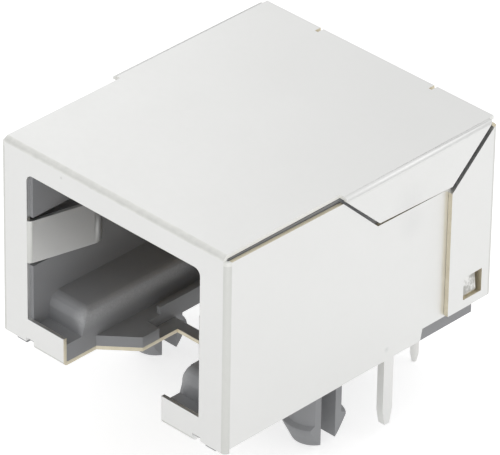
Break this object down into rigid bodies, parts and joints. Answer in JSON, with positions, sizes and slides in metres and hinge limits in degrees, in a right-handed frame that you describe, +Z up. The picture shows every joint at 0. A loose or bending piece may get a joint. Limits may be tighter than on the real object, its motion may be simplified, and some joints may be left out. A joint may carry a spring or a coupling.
{
  "type": "connector socket",
  "caption": "Shielded modular network connector socket for a circuit board: a folded metal shell round a black moulded housing with round spring contacts, snap pegs and solder tails.",
  "frame": {"origin": "on the circuit board's surface, midway between the two board pegs", "axes": "+Z up from the board, +Y from the plug face to the back, +X to the right seen from the plug face"},
  "size_m": [0.0166, 0.0191, 0.016],
  "materials": {
    "shell_metal": "satin nickel plate",
    "housing_plastic": "fine moulded texture",
    "insert_plastic": "fine moulded texture",
    "contact_metal": "bright plated wire"
  },
  "bodies": {
    "root": {"shield": "shell_metal", "housing": "housing_plastic", "contact_insert": "insert_plastic", "contact_1": "contact_metal", "contact_2": "contact_metal", "contact_3": "contact_metal", "contact_4": "contact_metal", "contact_5": "contact_metal", "contact_6": "contact_metal", "contact_7": "contact_metal", "contact_8": "contact_metal"}
  },
  "joints": []
}
